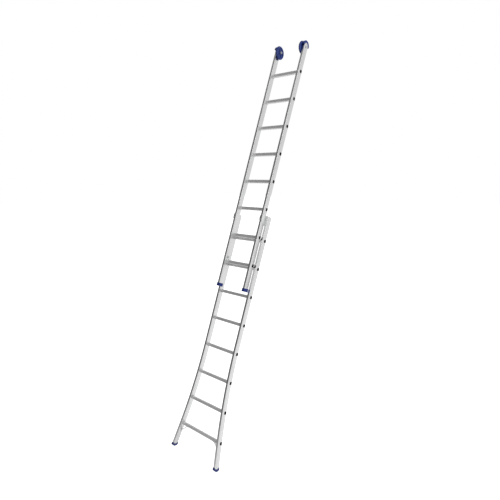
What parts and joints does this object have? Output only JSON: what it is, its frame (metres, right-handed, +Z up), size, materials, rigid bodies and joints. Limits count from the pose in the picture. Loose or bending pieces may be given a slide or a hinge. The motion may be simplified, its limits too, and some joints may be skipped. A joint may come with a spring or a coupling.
{
  "type": "extension ladder",
  "caption": "Leaning two-section aluminium extension ladder with flared base, sliding upper section, rung hooks and wall wheels at its head.",
  "frame": {"origin": "on the floor, under the middle of the leaning ladder's bounding box", "axes": "+Z up, +Y towards the wall the ladder leans on, +X to the right seen from the climber's side; the stiles lean 21.86 degrees from vertical towards +Y"},
  "size_m": [0.6256, 1.5768, 3.9362],
  "materials": {
    "stile_aluminium": "satin mill-finish extrusion",
    "rung_aluminium": "satin mill-finish extrusion with ridges",
    "bracket_aluminium": "bright pressed sheet",
    "rivet_aluminium": "bright",
    "black_plastic": "matte moulded",
    "blue_plastic": "semi-gloss moulded",
    "blue_rubber": "matte moulded",
    "wheel_plastic": "semi-gloss moulded",
    "bush_plastic": "plain bearing plastic",
    "zinc_steel": "zinc plated"
  },
  "bodies": {
    "lower": {"lower_stile_left": "stile_aluminium", "lower_stile_right": "stile_aluminium", "lower_rung_1": "rung_aluminium", "lower_rung_2": "rung_aluminium", "lower_rung_3": "rung_aluminium", "lower_rung_4": "rung_aluminium", "lower_rung_5": "rung_aluminium", "lower_rung_6": "rung_aluminium", "lower_rung_7": "rung_aluminium", "lower_rung_8": "rung_aluminium", "lower_rung_plugs": "black_plastic", "foot_left": "blue_rubber", "foot_right": "blue_rubber", "brace_left": "stile_aluminium", "brace_right": "stile_aluminium", "guide_bracket_left": "bracket_aluminium", "guide_bracket_right": "bracket_aluminium", "guide_pad_left": "black_plastic", "guide_pad_right": "black_plastic", "brace_rivets": "rivet_aluminium", "guide_rivets": "rivet_aluminium"},
    "upper": {"upper_stile_left": "stile_aluminium", "upper_stile_right": "stile_aluminium", "upper_rung_1": "rung_aluminium", "upper_rung_2": "rung_aluminium", "upper_rung_3": "rung_aluminium", "upper_rung_4": "rung_aluminium", "upper_rung_5": "rung_aluminium", "upper_rung_6": "rung_aluminium", "upper_rung_7": "rung_aluminium", "upper_rung_8": "rung_aluminium", "upper_rung_plugs": "black_plastic", "upper_foot_cap_left": "blue_plastic", "upper_foot_cap_right": "blue_plastic", "top_cap_left": "blue_plastic", "top_cap_right": "blue_plastic", "wheel_axle_left": "zinc_steel", "wheel_axle_right": "zinc_steel", "hook_bolt_left": "zinc_steel", "hook_bolt_right": "zinc_steel", "wheel_washers": "zinc_steel", "wheel_nuts": "zinc_steel"},
    "wheel_left": {"wheel_left": "wheel_plastic", "wheel_bush_left": "bush_plastic"},
    "wheel_right": {"wheel_right": "wheel_plastic", "wheel_bush_right": "bush_plastic"},
    "hook_left": {"hook_left": "bracket_aluminium"},
    "hook_right": {"hook_right": "bracket_aluminium"}
  },
  "joints": [
    {"name": "extension_slide", "type": "slide", "parent": "lower", "child": "upper", "axis": [0, 0.3723, 0.9281], "range_m": [-1.68, 0]},
    {"name": "wheel_left_spin", "type": "hinge", "parent": "upper", "child": "wheel_left", "pos_m": [-0.138, 0.72592, 3.87375], "axis": [1, 0, 0], "continuous": true},
    {"name": "hook_left_swing", "type": "hinge", "parent": "upper", "child": "hook_left", "pos_m": [-0.1515, -0.07388, 1.86943], "axis": [1, 0, 0], "range_deg": [0, 60]},
    {"name": "wheel_right_spin", "type": "hinge", "parent": "upper", "child": "wheel_right", "pos_m": [0.138, 0.72592, 3.87375], "axis": [1, 0, 0], "continuous": true},
    {"name": "hook_right_swing", "type": "hinge", "parent": "upper", "child": "hook_right", "pos_m": [0.1515, -0.07388, 1.86943], "axis": [1, 0, 0], "range_deg": [0, 60]}
  ]
}
